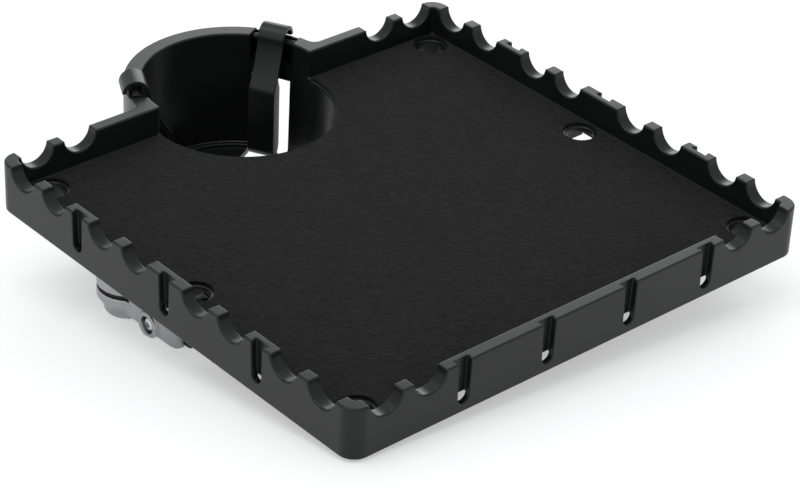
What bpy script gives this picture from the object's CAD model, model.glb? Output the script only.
import math

import bmesh
import bpy
from mathutils import Matrix, Vector


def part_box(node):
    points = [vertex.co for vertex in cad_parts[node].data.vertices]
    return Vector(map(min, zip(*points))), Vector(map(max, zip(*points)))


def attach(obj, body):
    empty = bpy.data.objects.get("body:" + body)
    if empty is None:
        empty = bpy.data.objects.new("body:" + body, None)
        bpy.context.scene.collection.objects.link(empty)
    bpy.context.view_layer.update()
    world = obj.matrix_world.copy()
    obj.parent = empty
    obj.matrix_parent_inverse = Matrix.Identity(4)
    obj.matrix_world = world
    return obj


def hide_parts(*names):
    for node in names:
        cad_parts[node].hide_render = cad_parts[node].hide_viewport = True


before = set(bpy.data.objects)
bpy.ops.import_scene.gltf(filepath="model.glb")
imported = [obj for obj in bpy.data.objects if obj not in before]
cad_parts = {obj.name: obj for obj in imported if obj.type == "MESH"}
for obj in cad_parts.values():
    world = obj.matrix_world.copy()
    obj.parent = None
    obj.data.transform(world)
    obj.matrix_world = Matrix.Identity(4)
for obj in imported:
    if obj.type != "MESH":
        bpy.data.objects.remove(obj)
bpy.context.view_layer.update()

# ---- Studio: camera, floor and light ----
# The tray lies on a pale floor. The clamp under it props up the back left side, so the floor
# leans a little in the tray's own frame, and the near corner of the tray touches it.
rim_low, rim_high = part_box("tray_rim")
TRAY_MIDDLE = Vector(((rim_low[0] + rim_high[0]) / 2, (rim_low[1] + rim_high[1]) / 2, rim_high[2]))
MM = 0.001

camera_data = bpy.data.cameras.new("camera")
camera_data.sensor_width = 36
camera_data.lens = 127.18
camera_data.clip_end = 50  # metres, well past the far side of the floor
camera = bpy.data.objects.new("camera", camera_data)
bpy.context.scene.collection.objects.link(camera)
camera.matrix_world = Matrix(
    (
        (0.755903, 0.323073, -0.569416, -0.577468),
        (-0.653459, 0.425498, -0.626053, -0.753954),
        (0.040024, 0.845326, 0.532750, 0.638029),
        (0, 0, 0, 1),
    )
)
bpy.context.scene.camera = camera

FLOOR_UP = Vector((0.083, 0.157, 0.984)).normalized()
FLOOR_TOUCH = TRAY_MIDDLE + Vector((-120, -113.5, -23.7)) * MM
FLOOR_REACH = 6  # metres each way
floor_mesh = bpy.data.meshes.new("floor")
floor_side = FLOOR_UP.orthogonal().normalized() * FLOOR_REACH
floor_ahead = FLOOR_UP.cross(floor_side)
floor_mesh.from_pydata(
    [
        FLOOR_TOUCH + a * floor_side + b * floor_ahead
        for a, b in ((-1, -1), (1, -1), (1, 1), (-1, 1))
    ],
    [],
    [(0, 1, 2, 3)],
)
floor = bpy.data.objects.new("floor", floor_mesh)
bpy.context.scene.collection.objects.link(floor)
floor_paint = bpy.data.materials.new("pale floor")
floor_paint.use_nodes = True
paint = floor_paint.node_tree.nodes["Principled BSDF"].inputs
paint["Base Color"].default_value = (0.58, 0.58, 0.58, 1)
paint["Roughness"].default_value = 0.9
paint["Specular IOR Level"].default_value = 0.1
paint["Emission Color"].default_value = (1, 1, 1, 1)
paint["Emission Strength"].default_value = 0.42
floor_mesh.materials.append(floor_paint)

world = bpy.data.worlds.new("studio")
world.use_nodes = True
world.node_tree.nodes["Background"].inputs["Color"].default_value = (0.97, 0.985, 1, 1)
world.node_tree.nodes["Background"].inputs["Strength"].default_value = 0.78
bpy.context.scene.world = world
bpy.context.scene.view_settings.view_transform = "Standard"


def soft_light(name, away, size, power):
    """A square soft box at a place away from the tray, turned to face it."""
    data = bpy.data.lights.new(name, "AREA")
    data.shape = "SQUARE"
    data.size = size
    data.energy = power
    lamp = bpy.data.objects.new(name, data)
    bpy.context.scene.collection.objects.link(lamp)
    turn = Vector(away).to_track_quat("Z", "Y").to_matrix().to_4x4()
    lamp.matrix_world = Matrix.Translation(TRAY_MIDDLE + Vector(away)) @ turn


soft_light("top light", (-0.6, 0.3, 2.6), 2.2, 26)
soft_light("back light", (2.1, 1.9, 0.75), 1.7, 22)
soft_light("side light", (-2.3, -0.4, 1.35), 1.2, 3)


# ---- Tray moulding ----
# One black plastic moulding: a tray with a thick rim that has round notches for sticks and slots
# for cables, six through holes, a cup ring behind the back edge, and ribs and bosses underneath.
LENGTH, WIDTH, CORNER = 241.3, 228.6, 7.5
RIM, SKIRT, WELL_CORNER = 6, 2.6, 1.6
FLOOR_TOP, FLOOR_BOTTOM, SKIRT_BOTTOM = -13.8, -15.8, -23
FLOOR_FILLET = 1.1
CUP = (0, 109.2)
CUP_RADIUS, CUP_STRETCH, RING_RADIUS = 41, 4.8, 48.7
RING_BLEND, BORE_BLEND = 4, 1.8
CUP_WALL, CUP_FLOOR, CUP_BOTTOM = 2.2, -57, -59.5
ARM_ANGLES = {"right": 28, "left": 152}
HOLES = [(sx * 105.05, sy * 98.7, 6.4 if sy else 5.9) for sy in (-1, 0, 1) for sx in (-1, 1)]
SWIVEL = (-98, 54)
PLATE_BOSSES = [
    (SWIVEL[0] + 11.5 * sx, SWIVEL[1] + 17.5 * sy) for sx in (-1, 1) for sy in (-1, 1)
]
EDGE = 0.85  # round on the moulding's edges
LIP = 0.6  # round where a notch or slot meets the rim's top
LEDGE = 1.5  # how far a cutter stands proud of the rim


def spread(start, end, count):
    """Evenly spaced numbers from start to end."""
    return [start + (end - start) * i / (count - 1) for i in range(count)]


def arc(centre, radius, start, end, count):
    """Points on an arc, with its angles in degrees."""
    turns = [math.radians(a) for a in spread(start, end, count)]
    return [(centre[0] + radius * math.cos(t), centre[1] + radius * math.sin(t)) for t in turns]


def outline(half_x, half_y, corner, ring, fillet, inset):
    """The plan of the tray with the cup ring on its back edge, moved in by an inset."""
    x, y, radius = half_x - corner, half_y - corner, max(corner - inset, 0.05)
    points = arc((x, -y), radius, -90, 0, 9) + arc((x, y), radius, 0, 90, 9)
    rise = half_y + fillet - CUP[1]
    side = math.sqrt((ring + fillet) ** 2 - rise**2)
    lean = math.degrees(math.asin(rise / (ring + fillet)))
    points += arc((side, half_y + fillet), fillet + inset, 270, 180 + lean, 7)
    points += arc(CUP, ring - inset, lean, 180 - lean, 73)[1:-1]
    points += arc((-side, half_y + fillet), fillet + inset, 360 - lean, 270, 7)
    points += arc((-x, y), radius, 90, 180, 9) + arc((-x, -y), radius, 180, 270, 9)
    return points


def body(name, points, faces):
    """A closed mesh object, with its faces turned outwards."""
    mesh = bpy.data.meshes.new(name)
    mesh.from_pydata(points, [], faces)
    work = bmesh.new()
    work.from_mesh(mesh)
    bmesh.ops.recalc_face_normals(work, faces=work.faces)
    work.to_mesh(mesh)
    work.free()
    made = bpy.data.objects.new(name, mesh)
    bpy.context.scene.collection.objects.link(made)
    return made


def loft(name, rings):
    """A closed body through rings of points that follow one another, capped at both ends."""
    count = len(rings[0])
    faces = [tuple(reversed(range(count)))]
    for level in range(len(rings) - 1):
        for i in range(count):
            a, b = level * count + i, level * count + (i + 1) % count
            faces.append((a, b, b + count, a + count))
    faces.append(tuple(range((len(rings) - 1) * count, len(rings) * count)))
    return body(name, [p for ring in rings for p in ring], faces)


def stack(name, plan, levels):
    """A body whose plan is moved in by each level's inset at that level's height."""
    return loft(name, [[(x, y, z) for x, y in plan(inset)] for inset, z in levels])


def turned(name, profile, centre=(0, 0), steps=96):
    """A body turned about an upright axis, from its profile of radius and height."""
    last = 360 - 360 / steps
    return loft(name, [[(x, y, z) for x, y in arc(centre, r, 0, last, steps)] for r, z in profile])


def block(name, x, y, z):
    """A plain box between two limits each way, used as a cutter or a rib."""
    rings = [[(x[0], y[0], h), (x[1], y[0], h), (x[1], y[1], h), (x[0], y[1], h)] for h in z]
    return loft(name, rings)


def rod(name, radius, start, end, steps=32):
    """A round bar between two points."""
    start, end = Vector(start), Vector(end)
    turn = (end - start).to_track_quat("Z", "X").to_matrix()
    ring = arc((0, 0), radius, 0, 360 - 360 / steps, steps)
    circle = [turn @ Vector((x, y, 0)) for x, y in ring]
    return loft(name, [[place + p for p in circle] for place in (start, end)])


def applied(made):
    """The object's mesh with its modifiers carried out."""
    graph = bpy.context.evaluated_depsgraph_get()
    mesh = bpy.data.meshes.new_from_object(made.evaluated_get(graph))
    made.modifiers.clear()
    made.data = mesh
    return made


def carve(made, tools, operation="DIFFERENCE"):
    """Cuts tools from a body, or adds them to it, one after another."""
    for tool in tools:
        step = made.modifiers.new("carve", "BOOLEAN")
        step.operation = operation
        step.object = tool
        step.solver = "MANIFOLD"
        applied(made)
        bpy.data.objects.remove(tool)
    return made


def moved(made, matrix):
    """Moves a body's mesh and leaves its object at the origin."""
    made.data.transform(matrix)
    return made


TO_FRAME = Matrix.Translation(TRAY_MIDDLE) @ Matrix.Scale(MM, 4)
FROM_FRAME = TO_FRAME.inverted()


def settle(made, matrix=TO_FRAME, angle=34):
    """Brings a finished body from tray millimetres to the shared frame, smoothly shaded."""
    work = bmesh.new()
    work.from_mesh(made.data)
    bmesh.ops.remove_doubles(work, verts=work.verts, dist=0.002)
    bmesh.ops.dissolve_degenerate(work, dist=0.001, edges=work.edges)
    work.to_mesh(made.data)
    work.free()
    made.data.transform(matrix)
    for polygon in made.data.polygons:
        polygon.use_smooth = True
    made.data.set_sharp_from_angle(angle=math.radians(angle))
    shade = made.modifiers.new("even shading", "WEIGHTED_NORMAL")
    shade.keep_sharp = True
    return made


def repeat_tree():
    """Geometry nodes that set a copy of the body at every point, turned by the point's own turn."""
    tree = bpy.data.node_groups.new("copies at places", "GeometryNodeTree")
    for label, kind in (("Body", "Geometry"), ("Places", "Object"), ("Finish", "Material")):
        tree.interface.new_socket(label, in_out="INPUT", socket_type="NodeSocket" + kind)
    tree.interface.new_socket("Copies", in_out="OUTPUT", socket_type="NodeSocketGeometry")
    add, link = tree.nodes.new, tree.links.new
    given, result = add("NodeGroupInput"), add("NodeGroupOutput")
    places = add("GeometryNodeObjectInfo")
    turn = add("GeometryNodeInputNamedAttribute")
    turn.data_type = "FLOAT_VECTOR"
    turn.inputs["Name"].default_value = "turn"
    to_rotation = add("FunctionNodeEulerToRotation")
    copies = add("GeometryNodeInstanceOnPoints")
    real, paint_node = add("GeometryNodeRealizeInstances"), add("GeometryNodeSetMaterial")
    link(given.outputs["Places"], places.inputs["Object"])
    link(places.outputs["Geometry"], copies.inputs["Points"])
    link(given.outputs["Body"], copies.inputs["Instance"])
    link(turn.outputs["Attribute"], to_rotation.inputs[0])
    link(to_rotation.outputs[0], copies.inputs["Rotation"])
    link(copies.outputs[0], real.inputs[0])
    link(real.outputs[0], paint_node.inputs["Geometry"])
    link(given.outputs["Finish"], paint_node.inputs["Material"])
    link(paint_node.outputs[0], result.inputs[0])
    return tree


REPEAT = repeat_tree()


def with_nodes(made, tree, values):
    """Runs a geometry nodes tree on a body, with its named inputs set, and keeps the plain mesh."""
    step = made.modifiers.new("nodes", "NODES")
    step.node_group = tree
    for item in tree.interface.items_tree:
        if item.item_type == "SOCKET" and item.in_out == "INPUT" and item.name in values:
            step[item.identifier] = values[item.name]
    return applied(made)


def repeated(made, places, finish=None):
    """Copies of a body at places given as (x, y, z, turn in degrees about Z)."""
    mesh = bpy.data.meshes.new("places")
    mesh.from_pydata([p[:3] for p in places], [], [])
    turn = mesh.attributes.new("turn", "FLOAT_VECTOR", "POINT")
    for slot_value, place in zip(turn.data, places):
        slot_value.vector = (0, 0, math.radians(place[3]))
    holder = bpy.data.objects.new("places", mesh)
    bpy.context.scene.collection.objects.link(holder)
    with_nodes(made, REPEAT, {"Places": holder, "Finish": finish})
    bpy.data.objects.remove(holder)
    return made


def rounded_steps(edge, through, beyond):
    """(depth, swell) from outside a wall to beyond it, with both its edges rounded over."""
    turns = [math.radians(a) for a in spread(0, 90, 6)]
    near = [(edge * (1 - math.cos(t)), edge * (1 - math.sin(t))) for t in turns]
    far = [(through - depth, swell) for depth, swell in reversed(near)]
    return [(-beyond, edge)] + near + far + [(through + beyond, edge)]


def flared(side, floor_points):
    """A profile symmetric about its middle that ends in rounded lips at the rim's top."""
    turns = spread(math.pi / 8, math.pi / 2, 4)
    lip = [(side + LIP * (1 - math.cos(t)), LIP * (math.sin(t) - 1)) for t in turns]
    right = lip + [(side + LIP, LEDGE)]
    left = [(-y, z) for y, z in reversed(right)]
    return left + floor_points + right


NOTCH_RADIUS, NOTCH_RISE = 8, 0.7


def notch_profile(swell):
    """A round notch across the rim."""
    radius = NOTCH_RADIUS + swell
    end = math.acos((NOTCH_RISE + LIP) / radius)
    bed = [
        (radius * math.sin(t), NOTCH_RISE - radius * math.cos(t)) for t in spread(-end, end, 27)
    ]
    return flared(radius * math.sin(end), bed)


def slot_profile(swell, half, length):
    """A cable slot from outside: straight sides that open slightly upwards, and a round foot."""
    points = arc((0, -length + half), half - 0.2 + swell, 180, 360, 13)
    side = half + 0.25 + swell
    return flared(side, [(-side, -LIP)] + points + [(side, -LIP)])


notch_steps = rounded_steps(EDGE, RIM, 2)
notch = loft("notch", [[(-d, y, z) for y, z in notch_profile(s)] for d, s in notch_steps])
notch_places = []
for y in (19.6, 41.9, 73.95, 96.15):
    for s in (-1, 1):
        notch_places += [(LENGTH / 2, s * y, 0, 0), (-LENGTH / 2, s * y, 0, 180)]
for x in (82.6, 104.3):
    for s in (-1, 1):
        notch_places += [(s * x, WIDTH / 2, 0, 90), (s * x, -WIDTH / 2, 0, -90)]
repeated(notch, notch_places)


def slot_cutter(length, places):
    """Slots with a narrow mouth in the outer face and a wider channel behind it."""
    mouth_half, channel_half = 3, 3.5
    mouth_steps = rounded_steps(0.55, 4, 1)[:-7] + [(1.9, 0)]
    channel_steps = ((1.6, 0), (3.1, 0), (3.3, -0.2))
    cutters = [
        loft("slot", [[(-d, y, z) for y, z in slot_profile(s, half, length)] for d, s in steps])
        for half, steps in ((mouth_half, mouth_steps), (channel_half, channel_steps))
    ]
    return repeated(carve(cutters[0], cutters[1:], "UNION"), places)


side_places = [(s * LENGTH / 2, y, 0, 90 - 90 * s) for y in (-57.95, 0, 57.95) for s in (-1, 1)]
front_places = [(x, -WIDTH / 2, 0, -90) for x in (-65.45, -22, 22, 65.45)]
side_slots = slot_cutter(17.5, side_places)
front_slots = slot_cutter(19.3, front_places)


def top_rounding(inset, edge):
    """Insets and heights that round a wall's top edge over."""
    turns = [math.radians(a) for a in spread(0, 90, 6)]
    return [(inset + edge * (1 - math.cos(t)), -edge + edge * math.sin(t)) for t in turns]


def foot_rounding(bottom, edge):
    """Insets and heights that round a wall's bottom edge over."""
    turns = spread(0, math.pi / 2, 6)
    return [(edge * (1 - math.sin(t)), bottom + edge * (1 - math.cos(t))) for t in turns]


def outer_plan(inset):
    """The plan of the tray's outer wall."""
    return outline(LENGTH / 2, WIDTH / 2, CORNER, RING_RADIUS, RING_BLEND, inset)


def well_plan(inset):
    """The plan of the tray's inside, open to the cup."""
    half_x, half_y = LENGTH / 2 - RIM, WIDTH / 2 - RIM
    return outline(half_x, half_y, WELL_CORNER, CUP_RADIUS, BORE_BLEND, inset)


foot = foot_rounding(SKIRT_BOTTOM, 0.8)
tray = stack("tray_moulding", outer_plan, foot + top_rounding(0, EDGE))
well_top = [(-inset, z) for inset, z in top_rounding(0, EDGE)] + [(-EDGE, 1)]
well = stack("well", well_plan, foot_rounding(FLOOR_TOP, FLOOR_FILLET) + well_top)
skirt_draft = [(-0.2, SKIRT_BOTTOM - 1), (-0.2, SKIRT_BOTTOM), (0.2, FLOOR_BOTTOM - 0.6)]
hollow = stack(
    "hollow",
    lambda inset: outer_plan(SKIRT + inset),
    skirt_draft + [(0.8, FLOOR_BOTTOM)],
)
carve(tray, [well, hollow])


def cup_plan(inset):
    """The cup's plan: a circle drawn out a little towards the front of the tray."""
    radius = CUP_RADIUS - inset
    return arc(CUP, radius, 0, 180, 65) + arc((0, CUP[1] - CUP_STRETCH), radius, 180, 360, 65)


cup_foot = [(-0.3, 0), (-1, 0.3), (-1.6, 0.8), (-1.9, 1.5)]
cup_shell = stack(
    "cup shell",
    cup_plan,
    [(inset, CUP_BOTTOM + rise) for inset, rise in cup_foot]
    + [(-CUP_WALL, -16), (-CUP_WALL, -14.6)],
)
IN_FLOOR = -15  # ribs, collars and bosses run up into the floor to here
RIB_HEIGHTS = (-20.5, IN_FLOOR)
ribs = [block("rib", (x - 1, x + 1), (-108, 108), RIB_HEIGHTS) for x in (-56, 56)]
ribs += [block("rib", (-114, 114), (y - 1, y + 1), RIB_HEIGHTS) for y in (-56, 8)]
collars = []
for x, y, r in HOLES:
    wall = [(r + 1.7, -22), (r + 2, -21.6), (r + 2.1, IN_FLOOR)]
    collars.append(turned("collar", wall, (x, y), 64))
    if not y:
        carve(collars[-1], [block("half", (x - 0.5, x + 20), (y - 20, y + 20), (-30, 0))])
bosses = [turned("boss", [(4.5, -21.5), (4.7, IN_FLOOR)], place, 40) for place in PLATE_BOSSES]
carve(tray, [cup_shell] + ribs + collars + bosses, "UNION")

bore_foot = [(4.6, 0), (3.9, 0.3), (3.6, 1), (3.5, 1.7)]
bore_step = [(3.2, 2), (1.4, 2), (1.05, 2.3), (0.9, 3)]
cup_bore = stack(
    "cup bore",
    cup_plan,
    [(inset, CUP_FLOOR + rise) for inset, rise in bore_foot + bore_step]
    + [(0, -15), (0, -12.4)],
)
FLARE = 1.2
flare_turns = spread(math.pi / 2, 0, 6)
lip_flare = [(FLARE * (math.sin(t) - 1), -15 + FLARE * math.cos(t)) for t in flare_turns]
cup_lip = stack("cup lip", cup_plan, [(0.5, -15.2)] + lip_flare + [(-FLARE, -13.5)])
carve(cup_lip, [block("front of cup", (-60, 60), (50, 107.4), (-20, -10))], "INTERSECT")
hole_cutters = []
for x, y, r in HOLES:
    turns = spread(math.pi / 2, 0, 5)
    lip = [(r + LIP * (1 - math.sin(t)), FLOOR_TOP - LIP + LIP * math.cos(t)) for t in turns]
    cut = [(r, -24)] + lip + [(r + LIP, FLOOR_TOP + 0.4)]
    hole_cutters.append(turned("hole", cut, (x, y), 72))
screw_hole = [(1.9, -23), (1.9, FLOOR_BOTTOM + 0.6)]
screw_holes = [turned("screw hole", screw_hole, place, 24) for place in PLATE_BOSSES]
carve(tray, [cup_bore, cup_lip, notch, side_slots, front_slots] + hole_cutters + screw_holes)


def round_cup(made, angle):
    """Turns a body drawn with X away from the cup's axis to its place round the cup."""
    turn = Matrix.Rotation(math.radians(angle), 4, "Z")
    return moved(made, Matrix.Translation((CUP[0], CUP[1], 0)) @ turn)


def box_plan(x, y, corner):
    """A rectangle with small round corners, moved in by an inset."""
    middle = ((x[0] + x[1]) / 2, (y[0] + y[1]) / 2)
    half = ((x[1] - x[0]) / 2, (y[1] - y[0]) / 2)

    def plan(inset):
        radius = max(corner - inset, 0.05)
        points = []
        for sx, sy, start in ((1, -1, -90), (1, 1, 0), (-1, 1, 90), (-1, -1, 180)):
            centre_x = middle[0] + sx * (half[0] - inset - radius)
            centre_y = middle[1] + sy * (half[1] - inset - radius)
            points += arc((centre_x, centre_y), radius, start, start + 90, 6)
        return points

    return plan


HOOK = (44.3, -0.7)  # middle of an arm's hook, away from the cup's axis and up
PIN_HEIGHT = -2.6
POCKET_HALF, WINDOW_HALF = 10.5, 9.4
PIN_SEAT = POCKET_HALF + 1.9
across_pocket = (-POCKET_HALF, POCKET_HALF)
across_window = (-WINDOW_HALF, WINDOW_HALF)
flare = [(-inset, z) for inset, z in top_rounding(0, 0.5)] + [(-0.5, 2)]
notch_levels = [(0, CUP_BOTTOM - 1), (0, CUP_FLOOR + 3)]
for angle in ARM_ANGLES.values():
    pin_ends = [(HOOK[0], y, PIN_HEIGHT) for y in (-PIN_SEAT, PIN_SEAT)]
    cutters = [
        stack("pocket", box_plan((34, 47.1), across_pocket, 0.8), [(0, -12)] + flare),
        block("skin", (46, 51), across_pocket, (-1, 2)),
        stack("floor notch", box_plan((27, 46), across_window, 1), notch_levels),
        block("window", (38, 46), across_window, (CUP_FLOOR + 2, -17.5)),
        rod("pin hole", 1.75, *pin_ends),
    ]
    carve(tray, [round_cup(cutter, angle) for cutter in cutters])
settle(tray)


class Amount:
    """A number carried by a shader node's socket, so that a finish reads as plain arithmetic."""

    def __init__(self, finish, socket):
        self.finish = finish
        self.socket = socket

    def reckon(self, operation, first, second):
        return self.finish.node("ShaderNodeMath", {"operation": operation}, {0: first, 1: second})

    def __add__(self, other):
        return self.reckon("ADD", self, other)

    __radd__ = __add__

    def __mul__(self, other):
        return self.reckon("MULTIPLY", self, other)

    __rmul__ = __mul__

    def __sub__(self, other):
        return self.reckon("SUBTRACT", self, other)

    def __rsub__(self, other):
        return self.reckon("SUBTRACT", other, self)


class Finish:
    """A surface finish: one material and the ways to add nodes to it."""

    def __init__(self, name, **steady):
        self.material = bpy.data.materials.new(name)
        self.material.use_nodes = True
        self.tree = self.material.node_tree
        self.surface = self.tree.nodes["Principled BSDF"].inputs
        for socket, value in steady.items():
            self.surface[socket.replace("_", " ")].default_value = value

    def node(self, kind, settings, sockets, out=0):
        made = self.tree.nodes.new(kind)
        for setting, value in settings.items():
            if setting == "stops":
                for stop, (position, level) in zip(made.color_ramp.elements, value):
                    stop.position = position
                    stop.color = (level, level, level, 1)
            else:
                setattr(made, setting, value)
        for socket, value in sockets.items():
            if isinstance(value, Amount):
                self.tree.links.new(value.socket, made.inputs[socket])
            else:
                made.inputs[socket].default_value = value
        return Amount(self, made.outputs[out])

    def feed(self, socket, value):
        self.tree.links.new(value.socket, self.surface[socket])

    def place(self, stretch=(1, 1, 1), turn=(0, 0, 0)):
        """Where a point is on the piece, stretched and turned for a grain."""
        where = self.node("ShaderNodeTexCoord", {}, {}, "Object")
        sockets = {"Vector": where, "Scale": stretch, "Rotation": turn}
        return self.node("ShaderNodeMapping", {"vector_type": "TEXTURE"}, sockets)

    def grain(self, scale, detail=3, rough=0.55, stretch=(1, 1, 1), turn=(0, 0, 0)):
        """Fine mottling, from 0 to 1, at so many cells a metre."""
        sockets = {"Vector": self.place(stretch, turn), "Scale": scale}
        sockets.update({"Detail": detail, "Roughness": rough})
        return self.node("ShaderNodeTexNoise", {}, sockets, "Fac")

    def cells(self, scale):
        """Small round cells, 0 at their middles."""
        sockets = {"Vector": self.place(), "Scale": scale}
        return self.node("ShaderNodeTexVoronoi", {}, sockets, "Distance")

    def edges(self, low, high):
        """1 on worn outer edges and 0 on flat and hollow places."""
        point = self.node("ShaderNodeNewGeometry", {}, {}, "Pointiness")
        return self.node("ShaderNodeValToRGB", {"stops": [(low, 0), (high, 1)]}, {"Fac": point})

    def blend(self, amount, dark, light):
        """A colour between two, by an amount from 0 to 1."""
        settings = {"data_type": "RGBA"}
        return self.node("ShaderNodeMix", settings, {"Factor": amount, 6: dark, 7: light}, 2)

    def relief(self, height, strength, depth):
        """Raises the surface by a height, in metres at its fullest."""
        sockets = {"Height": height, "Strength": strength, "Distance": depth}
        self.feed("Normal", self.node("ShaderNodeBump", {}, sockets, "Normal"))


def grey(level, blue=1.0):
    """A grey of so much brightness, a little bluer when blue is above 1."""
    return (level, level * (0.5 + 0.5 * blue), level * blue, 1)


def moulded_plastic(name, level):
    """Black moulded plastic: a fine satin grain, faint flow marks, and paler rubbed edges."""
    finish = Finish(name, IOR=1.45, Specular_IOR_Level=0.34)
    satin = finish.grain(2600, 4)
    flow = finish.grain(22, 3, 0.5, (1, 1, 0.4))
    rubbed = finish.edges(0.52, 0.62)
    dark, light = grey(level * 0.75, 1.08), grey(level * 1.9, 1.12)
    finish.feed("Base Color", finish.blend(flow * 0.6 + rubbed * 0.6, dark, light))
    finish.feed("Roughness", 0.26 + flow * 0.08 + satin * 0.06)
    finish.relief(satin * 0.6 + flow * 0.4, 0.12, 0.00012)
    return finish.material


tray_plastic = moulded_plastic("black moulded plastic", 0.006)
tray.data.materials.clear()
tray.data.materials.append(tray_plastic)
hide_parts("tray_rim", "tray_floor", "cup_holder")
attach(tray, "tray")

# ---- Felt mat ----
# A black needled felt mat, die-cut with clearance round the six holes and the cup, and laid
# loose on the tray's floor inside the fillet at the foot of the rim.
MAT_FOOT, MAT_TOP = FLOOR_TOP + 0.3, -12.5
MAT_HALF_X, MAT_HALF_Y, MAT_CORNER, MAT_EDGE = 113.25, 106.9, 1.5, 0.35
mat_edge = [
    (MAT_EDGE * (1 - math.cos(t)), MAT_TOP + MAT_EDGE * (math.sin(t) - 1))
    for t in spread(0, math.pi / 2, 4)
]
mat_plan = box_plan((-MAT_HALF_X, MAT_HALF_X), (-MAT_HALF_Y, MAT_HALF_Y), MAT_CORNER)
mat = stack("felt_mat_cut", mat_plan, [(0, MAT_FOOT)] + mat_edge)
mat_cuts = []
for x, y, r in HOLES:
    radius = r + 2
    cut = [(radius - 0.3, MAT_FOOT - 1), (radius - 0.3, MAT_TOP - 0.3)]
    cut += [(radius - 0.2, MAT_TOP - 0.1), (radius, MAT_TOP), (radius, MAT_TOP + 1)]
    mat_cuts.append(turned("mat hole", cut, (x, y), 72))
cup_cut = [(-1.1, MAT_FOOT - 1), (-1.1, MAT_TOP - 0.3)]
cup_cut += [(-1.2, MAT_TOP - 0.1), (-1.4, MAT_TOP), (-1.4, MAT_TOP + 1)]
mat_cuts.append(stack("mat cup", cup_plan, cup_cut))
settle(carve(mat, mat_cuts))

FELT_LAY, CROSS_LAY = -0.71, -0.4  # the ways the fibres lie, in radians
felt = Finish(
    "needled felt", Roughness=1, Specular_IOR_Level=0.1, Sheen_Weight=0.1, Sheen_Roughness=0.4
)
fibres = felt.grain(750, 3, 0.6, (1.7, 0.9, 1), (0, 0, FELT_LAY))
crossed = felt.grain(1300, 3, 0.6, (1, 1.3, 1), (0, 0, CROSS_LAY))
patches = felt.grain(60, 3)
nap = fibres * 0.6 + crossed * 0.4
fleck = nap * 2.6 - 0.95 + patches * 0.3
felt.feed("Base Color", felt.blend(fleck, grey(0.0025), grey(0.0155)))
felt.relief(nap, 0.7, 0.0005)
mat.data.materials.clear()
mat.data.materials.append(felt.material)
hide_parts("felt_mat")
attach(mat, "tray")

# ---- Cup arms ----
# Two sprung plastic arms press a cup against the far side of its holder. Each is one moulding: a
# curved plate that hooks over the ring, two stiffening cheeks behind it, and a hub on a steel pin.
def slab(name, points, across, edge):
    """A flat shape drawn in X and Z and raised across the arm, with its side edges rounded over."""
    count = len(points)
    pairs = [(points[i - 1], points[i]) for i in range(count)]
    area = sum(a[0] * b[1] - b[0] * a[1] for a, b in pairs)
    sign = 1 if area > 0 else -1

    def inset_by(amount):
        ring = []
        for i, (x, z) in enumerate(points):
            before, after = points[i - 1], points[(i + 1) % count]
            arriving = Vector((x - before[0], z - before[1])).normalized()
            leaving = Vector((after[0] - x, after[1] - z)).normalized()
            along = (arriving + leaving).normalized()
            ring.append((x - sign * along.y * amount, z + sign * along.x * amount))
        return ring

    turns = spread(0, math.pi / 2, 5)
    near = [(across[0] + edge * (1 - math.cos(t)), edge * (1 - math.sin(t))) for t in turns]
    far = [(across[1] + across[0] - y, inset) for y, inset in reversed(near)]
    return loft(name, [[(x, y, z) for x, z in inset_by(inset)] for y, inset in near + far])


def bowed(start, middle, end, count=8):
    """Points on a smooth bend from start to end, pulled towards middle."""
    return [
        tuple(
            (1 - t) ** 2 * a + 2 * t * (1 - t) * b + t * t * c
            for a, b, c in zip(start, middle, end)
        )
        for t in spread(0, 1, count)
    ]


arm_outline = (
    arc(HOOK, 6, 0, 180, 25)
    + [(37.9, -2.6), (37.2, -4.8), (36.3, -7.5), (34.8, -11), (33.1, -14.6), (31.3, -17.6)]
    + bowed((29.9, -19.6), (28.5, -21.6), (28.5, -24.5))
    + [(28.5, -32), (28.5, -42)]
    + arc((35, -50), 6.5, 180, 270, 10)
    + arc((35, -50), 4.7, 270, 180, 10)
    + [(30.3, -42), (30.3, -32)]
    + bowed((30.3, -25), (30.3, -22.4), (31.4, -20.6))
    + [(33, -18.2), (34.8, -15), (36.5, -11.4), (38.1, -7.8), (39.1, -4.8), (39.7, -2.6)]
    + arc(HOOK, 4.2, 180, 0, 21)
)
cheek_outline = [
    (29.5, -24), (29.5, -51.5), (31.1, -54.8), (34.7, -55.9), (36.4, -53.7), (37.2, -51),
    (37.2, -22), (35.9, -18.4), (34.2, -15.2), (33.2, -15.6), (31.6, -18.4), (30, -21),
]
ARM_HALF, CHEEK_ACROSS, HUB_HALF, BORE_HALF = 6.25, (4.05, 5.65), 2.2, 4
arm_plastic = moulded_plastic("black arm plastic", 0.0075)
for side, angle in ARM_ANGLES.items():
    arm = slab("cup_arm_" + side + "_moulding", arm_outline, (-ARM_HALF, ARM_HALF), 0.45)
    cheeks = [
        slab("cheek", cheek_outline, sorted(s * y for y in CHEEK_ACROSS), 0.3) for s in (-1, 1)
    ]
    hub_ends = [(HOOK[0], y, PIN_HEIGHT) for y in (-HUB_HALF, HUB_HALF)]
    bore_ends = [(HOOK[0], y, PIN_HEIGHT) for y in (-BORE_HALF, BORE_HALF)]
    neck = block("neck", (42.9, 45.7), (-HUB_HALF, HUB_HALF), (PIN_HEIGHT, 4))
    carve(arm, cheeks + [rod("hub", 2.5, *hub_ends), neck], "UNION")
    carve(arm, [rod("bore", 1.75, *bore_ends)])
    settle(round_cup(arm, angle))
    arm.data.materials.clear()
    arm.data.materials.append(arm_plastic)
    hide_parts("cup_arm_" + side)
    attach(arm, "arm_" + side)

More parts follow.
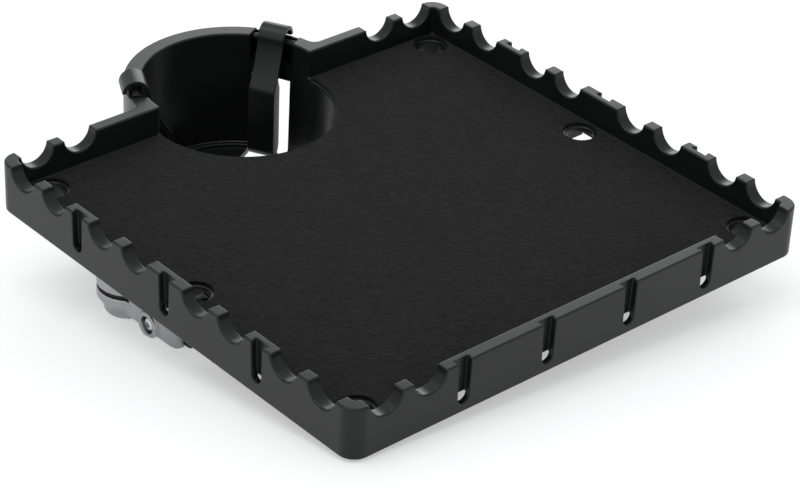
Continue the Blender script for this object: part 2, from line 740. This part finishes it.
# ---- Arm pins and springs ----
# Each arm turns on a plain steel pin pressed into both sides of its gap in the ring, with a coil
# spring wound round the pin beside the arm's hub. Both are oiled black steel.


def coil_tree():
    """Geometry nodes that wind a bar of so many sides along a spiral round Z."""
    tree = bpy.data.node_groups.new("wound coil", "GeometryNodeTree")
    tree.interface.new_socket("Body", in_out="INPUT", socket_type="NodeSocketGeometry")
    for label in ("Turns", "Radius", "Height", "Wire"):
        tree.interface.new_socket(label, in_out="INPUT", socket_type="NodeSocketFloat")
    tree.interface.new_socket("Sides", in_out="INPUT", socket_type="NodeSocketInt")
    tree.interface.new_socket("Finish", in_out="INPUT", socket_type="NodeSocketMaterial")
    tree.interface.new_socket("Coil", in_out="OUTPUT", socket_type="NodeSocketGeometry")
    add, link = tree.nodes.new, tree.links.new
    given, result = add("NodeGroupInput"), add("NodeGroupOutput")
    spiral, section = add("GeometryNodeCurveSpiral"), add("GeometryNodeCurvePrimitiveCircle")
    spiral.inputs["Resolution"].default_value = 28
    sweep = add("GeometryNodeCurveToMesh")
    sweep.inputs["Fill Caps"].default_value = True
    real, paint_node = add("GeometryNodeRealizeInstances"), add("GeometryNodeSetMaterial")
    link(given.outputs["Turns"], spiral.inputs["Rotations"])
    link(given.outputs["Radius"], spiral.inputs["Start Radius"])
    link(given.outputs["Radius"], spiral.inputs["End Radius"])
    link(given.outputs["Height"], spiral.inputs["Height"])
    link(given.outputs["Wire"], section.inputs["Radius"])
    link(given.outputs["Sides"], section.inputs["Resolution"])
    link(spiral.outputs[0], sweep.inputs["Curve"])
    link(section.outputs[0], sweep.inputs["Profile Curve"])
    link(sweep.outputs[0], real.inputs[0])
    link(real.outputs[0], paint_node.inputs["Geometry"])
    link(given.outputs["Finish"], paint_node.inputs["Material"])
    link(paint_node.outputs[0], result.inputs[0])
    return tree


COIL = coil_tree()


def coil(name, turns, radius, height, wire, sides):
    """A coil standing on the origin, with its faces turned outwards."""
    made = body(name, [(0, 0, 0)], [])
    sizes = {"Turns": float(turns), "Radius": radius, "Height": height}
    sizes.update({"Wire": wire, "Sides": sides})
    with_nodes(made, COIL, sizes)
    work = bmesh.new()
    work.from_mesh(made.data)
    bmesh.ops.remove_doubles(work, verts=work.verts, dist=0.001)
    bmesh.ops.recalc_face_normals(work, faces=work.faces)
    work.to_mesh(made.data)
    work.free()
    return made


def joined(name, parts):
    """Several meshes kept together as one piece."""
    work = bmesh.new()
    for part in parts:
        work.from_mesh(part.data)
    mesh = bpy.data.meshes.new(name)
    work.to_mesh(mesh)
    work.free()
    for part in parts:
        bpy.data.objects.remove(part)
    made = bpy.data.objects.new(name, mesh)
    bpy.context.scene.collection.objects.link(made)
    return made


def bright_steel(name):
    """Zinc-plated steel: a drawn grain, faint clouding and duller rubbed edges."""
    finish = Finish(name, Metallic=1)
    drawn = finish.grain(900, 3, 0.6, (5, 1, 1))
    cloud = finish.grain(180, 3)
    dull, bright = (0.5, 0.51, 0.53, 1), (0.72, 0.73, 0.74, 1)
    finish.feed("Base Color", finish.blend(cloud, dull, bright))
    finish.feed("Roughness", 0.16 + cloud * 0.12 + drawn * 0.08)
    finish.relief(drawn, 0.15, 0.00008)
    return finish.material


def blackened_steel(name):
    """Oiled black steel: nearly black, with a soft shine and browner rubbed patches."""
    finish = Finish(name, Metallic=0.7)
    cloud = finish.grain(260, 3)
    drawn = finish.grain(900, 3, 0.6, (4, 1, 1))
    oiled, rubbed = (0.014, 0.014, 0.015, 1), (0.035, 0.033, 0.031, 1)
    finish.feed("Base Color", finish.blend(cloud, oiled, rubbed))
    finish.feed("Roughness", 0.34 + cloud * 0.12 + drawn * 0.08)
    finish.relief(drawn, 0.15, 0.00008)
    return finish.material


steel = bright_steel("zinc-plated steel")
black_steel = blackened_steel("blackened steel")
along_arm = Matrix.Rotation(math.radians(-90), 4, "X")


def pin_profile(radius, start, end, chamfer):
    """A straight pin with its ends chamfered, as radius and height."""
    foot = [(radius - chamfer, start), (radius, start + chamfer)]
    return foot + [(radius, end - chamfer), (radius - chamfer, end)]


def finished(made, material, node, part_body):
    """Gives a settled piece its finish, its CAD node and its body."""
    made.data.materials.clear()
    made.data.materials.append(material)
    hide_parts(node)
    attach(made, part_body)


PIN_RADIUS, PIN_HALF = 1.5, 12
SPRING_TURNS, SPRING_RADIUS, SPRING_WIRE = 6, 2.05, 0.42
SPRING_START, SPRING_LENGTH, LEG_END = 2.9, 5.2, -8.5
for side, angle in ARM_ANGLES.items():
    to_pin = Matrix.Translation((HOOK[0], 0, PIN_HEIGHT)) @ along_arm
    straight = pin_profile(PIN_RADIUS, -PIN_HALF, PIN_HALF, 0.25)
    pin = moved(turned("arm_pin_" + side + "_steel", straight, steps=40), to_pin)
    finished(settle(round_cup(pin, angle)), black_steel, "arm_pin_" + side, "tray")
    winding = coil("winding", SPRING_TURNS, SPRING_RADIUS, SPRING_LENGTH, SPRING_WIRE, 10)
    moved(winding, Matrix.Translation((HOOK[0], SPRING_START, PIN_HEIGHT)) @ along_arm)
    leg_place = (HOOK[0] + SPRING_RADIUS, SPRING_START + SPRING_LENGTH)
    leg = rod("leg", SPRING_WIRE, (*leg_place, PIN_HEIGHT), (*leg_place, LEG_END), 12)
    spring = joined("arm_spring_" + side + "_wire", [winding, leg])
    round_cup(spring, angle)
    finished(settle(spring, angle=60), black_steel, "arm_spring_" + side, "tray")

# ---- Clamp plate and its four screws ----
# A die-cast plate with a round pedestal is screwed up into four bosses under the tray's floor by
# cross-recessed pan-head screws. Its tumbled casting leaves soft edges and a dull silver skin.


def cad_copy(name, node):
    """A separate copy of a CAD solid, with its loose triangles merged."""
    made = bpy.data.objects.new(name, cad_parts[node].data.copy())
    bpy.context.scene.collection.objects.link(made)
    work = bmesh.new()
    work.from_mesh(made.data)
    bmesh.ops.remove_doubles(work, verts=work.verts, dist=0.000002)
    work.to_mesh(made.data)
    work.free()
    return made


def cast_copy(name, node, grain=0.00036, rounds=7):
    """A casting made from its CAD solid: remeshed finely and eased, so that every edge is soft."""
    made = cad_copy(name, node)
    fine = made.modifiers.new("fine mesh", "REMESH")
    fine.mode = "VOXEL"
    fine.voxel_size = grain
    ease = made.modifiers.new("eased edges", "SMOOTH")
    ease.factor = 0.5
    ease.iterations = rounds
    applied(made)
    for polygon in made.data.polygons:
        polygon.use_smooth = True
    return made


def cast_metal(name):
    """Die-cast zinc alloy: a dull silver skin with pits, cloudy patches and brighter worn edges."""
    finish = Finish(name, Metallic=1)
    cloud = finish.grain(110, 4)
    skin = finish.grain(1500, 4, 0.6)
    pits = finish.cells(900)
    worn = finish.edges(0.5, 0.6)
    dark, light = (0.24, 0.24, 0.25, 1), (0.52, 0.52, 0.52, 1)
    finish.feed("Base Color", finish.blend(cloud * 0.7 + worn * 0.4, dark, light))
    finish.feed("Roughness", 0.32 - worn * 0.1 + skin * 0.1)
    finish.relief(skin * 0.5 + pits * 0.5, 0.35, 0.00012)
    return finish.material


cast = cast_metal("die-cast alloy")
plate = cast_copy("clamp_plate_casting", "clamp_plate")
finished(plate, cast, "clamp_plate", "tray")


RIDGE_SHARE = 0.34  # a thread ridge's radius as a share of its pitch


def threaded(radius, start, end, pitch):
    """A ridge wound round a shank to make its thread."""
    ridge = coil("thread", (end - start) / pitch, radius, end - start, pitch * RIDGE_SHARE, 3)
    return moved(ridge, Matrix.Translation((0, 0, start)))


SCREW_HEAD = -25.1
CROSS_LONG, CROSS_WIDE = (-1.9, 1.9), (-0.4, 0.4)
pan_head = [(0.4, -2.45), (1.2, -2.4), (2, -2.25), (2.7, -1.85)]
pan_head += [(3.3, -1.2), (3.6, -0.5), (3.6, -0.15), (3.45, 0)]
for index, (x, y) in enumerate(PLATE_BOSSES):
    node = "plate_screw_%d" % (index + 1)
    head = turned("head", pan_head, steps=48)
    cross = ((CROSS_LONG, CROSS_WIDE), (CROSS_WIDE, CROSS_LONG))
    carve(head, [block("recess", x_limits, y_limits, (-4, -1.1)) for x_limits, y_limits in cross])
    shank = turned("shank", [(1.35, -0.2), (1.35, 8), (0.5, 9.2)], steps=24)
    screw = joined(node + "_steel", [head, shank, threaded(1.3, 0.8, 8.2, 1.1)])
    moved(screw, Matrix.Translation((x, y, SCREW_HEAD)))
    finished(settle(screw), steel, node, "tray")

# ---- Swivel: bolt, lock nut and rubber washer ----
# The clamp's head turns under the plate on a hexagon bolt and a lock nut sunk in the plate. The
# ribbed rubber washer between them gives the swivel its drag.


def hexagon_bar(name, radius, start, end):
    """A six-sided bar about an upright axis."""
    corners = arc((0, 0), radius, 30, 330, 6)
    return loft(name, [[(x, y, z) for x, y in corners] for z in (start, end)])


def hexagon(name, radius, start, end, ease=0.5):
    """A hexagon head whose corners are turned off at both ends."""
    wide, narrow = radius + 0.1, radius - 2 * ease
    profile = [(narrow, start), (wide, start + ease), (wide, end - ease), (narrow, end)]
    return carve(hexagon_bar(name, radius, start, end), [turned("drum", profile)], "INTERSECT")


to_swivel = Matrix.Translation((SWIVEL[0], SWIVEL[1], 0))
bolt_head = hexagon("head", 7, -50.4, -46)
bolt_shank = turned("shank", pin_profile(3.75, -46.5, -20.3, 0.5), steps=48)
bolt_parts = [bolt_head, bolt_shank, threaded(3.6, -34, -21, 1.25)]
swivel_bolt = moved(joined("swivel_bolt_steel", bolt_parts), to_swivel)
finished(settle(swivel_bolt), steel, "swivel_bolt", "tray")

nut = hexagon("swivel_nut_steel", 7.6, -28.5, -22.2)
carve(nut, [turned("bore", [(4.3, -30), (4.3, -20)], steps=48)])
finished(settle(moved(nut, to_swivel)), steel, "swivel_nut", "tray")


def ribbed_rubber(name):
    """Dark rubber: matt, with a dusty bloom and a fine pebbled skin."""
    finish = Finish(name, Specular_IOR_Level=0.35)
    bloom = finish.grain(140, 4)
    skin = finish.grain(2200, 3)
    finish.feed("Base Color", finish.blend(bloom, grey(0.011), grey(0.032)))
    finish.feed("Roughness", 0.62 + bloom * 0.2)
    finish.relief(skin, 0.3, 0.00012)
    return finish.material


rubber = ribbed_rubber("dark rubber")
RIDGES = 48
washer = turned("washer", pin_profile(12.7, -39.1, -37.9, 0.3))
carve(washer, [turned("bore", [(4.4, -41), (4.4, -36)], steps=48)])
ridge = block("ridge", (12.4, 12.95), (-0.35, 0.35), (-38.9, -38.1))
ridges = repeated(ridge, [(0, 0, 0, 360 / RIDGES * k) for k in range(RIDGES)])
swivel_washer = moved(joined("swivel_washer_ribbed", [washer, ridges]), to_swivel)
finished(settle(swivel_washer), rubber, "swivel_washer", "tray")

# ---- Clamp body and hinged jaw ----
# Two die-castings grip a stand tube: a body with a round swivel head and a fixed jaw, and a jaw
# hinged to it on a steel pin. A rubber pad with gripping ribs lines each jaw.
finished(cast_copy("clamp_body_casting", "clamp_body"), cast, "clamp_body", "clamp")
jaw = cast_copy("clamp_jaw_casting", "clamp_jaw", 0.00032, 5)
finished(jaw, cast, "clamp_jaw", "jaw")


def jaw_pad(name, node, part_body):
    """A rubber pad with eased edges and ribs across its grip."""
    made = cad_copy("pad", node)
    work = bmesh.new()
    work.from_mesh(made.data)
    bmesh.ops.dissolve_limit(work, angle_limit=0.02, verts=work.verts, edges=work.edges)
    work.to_mesh(made.data)
    work.free()
    moved(made, FROM_FRAME)
    ease = made.modifiers.new("eased", "BEVEL")
    ease.width = 0.25
    ease.segments = 3
    applied(made)
    low, high = [FROM_FRAME @ Vector(corner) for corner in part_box(node)]
    groove = block("groove", (low.x + 0.1, high.x - 0.1), (high.y - 1.6, high.y - 0.5), (0, 0.5))
    levels = [(0, 0, z, 0) for z in spread(low.z + 1.2, high.z - 1.7, 6)]
    carve(made, [repeated(groove, levels)])
    finished(settle(joined(name, [made])), rubber, node, part_body)


jaw_pad("fixed_jaw_pad_rubber", "fixed_jaw_pad", "clamp")
jaw_pad("clamp_jaw_pad_rubber", "clamp_jaw_pad", "jaw")

pin_low, pin_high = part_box("jaw_pin")
pin_middle = (Vector(pin_low) + Vector(pin_high)) / 2
pin_foot = FROM_FRAME @ Vector((pin_middle.x, pin_middle.y, pin_low[2]))
headed_pin = [(1.75, 0), (2, 0.25), (2, 12), (3.2, 12.5)]
headed_pin += [(3.55, 12.8), (3.6, 13.2), (3.3, 13.6), (2.4, 13.7)]
hinge = moved(turned("jaw_pin_steel", headed_pin, steps=48), Matrix.Translation(pin_foot))
finished(settle(hinge), steel, "jaw_pin", "clamp")

# ---- Clamp bolt, washer and wing nut ----
# A plated bolt lies in a round recess of the fixed jaw and passes between the jaws. The wing nut
# on its threaded end presses a washer against the hinged jaw to close the clamp.
BOLT_AXIS = (28.2, -42.3)
to_bolt = Matrix.Translation((0, *BOLT_AXIS)) @ Matrix.Rotation(math.radians(90), 4, "Y")
button = [(0.6, -107.9), (1.6, -107.75), (2.5, -107.35), (3.1, -106.7)]
button += [(3.4, -105.9), (3.4, -105.5), (3.3, -105.3)]
button_head = turned("head", button, steps=48)
carve(button_head, [hexagon_bar("key hole", 1.5, -109, -106.4)])
bolt_shank = turned("shank", pin_profile(2.3, -105.8, -62, 0.4), steps=40)
THREAD_PITCH = 0.8
bolt_parts = [button_head, bolt_shank, threaded(2.2, -96, -62.5, THREAD_PITCH)]
clamp_bolt = joined("clamp_bolt_steel", bolt_parts)
finished(settle(moved(clamp_bolt, to_bolt)), steel, "clamp_bolt", "clamp")

washer_low = (FROM_FRAME @ Vector(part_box("clamp_washer")[0])).x
washer_profile = pin_profile(5.5, washer_low, washer_low + 1.2, 0.2)
flat_washer = turned("clamp_washer_steel", washer_profile, steps=64)
carve(flat_washer, [turned("bore", [(2.8, washer_low - 1), (2.8, washer_low + 3)], steps=40)])
finished(settle(moved(flat_washer, to_bolt)), steel, "clamp_washer", "washer")
wing_nut = cast_copy("wing_nut_casting", "wing_nut", 0.00028, 5)
finished(wing_nut, cast, "wing_nut", "nut")
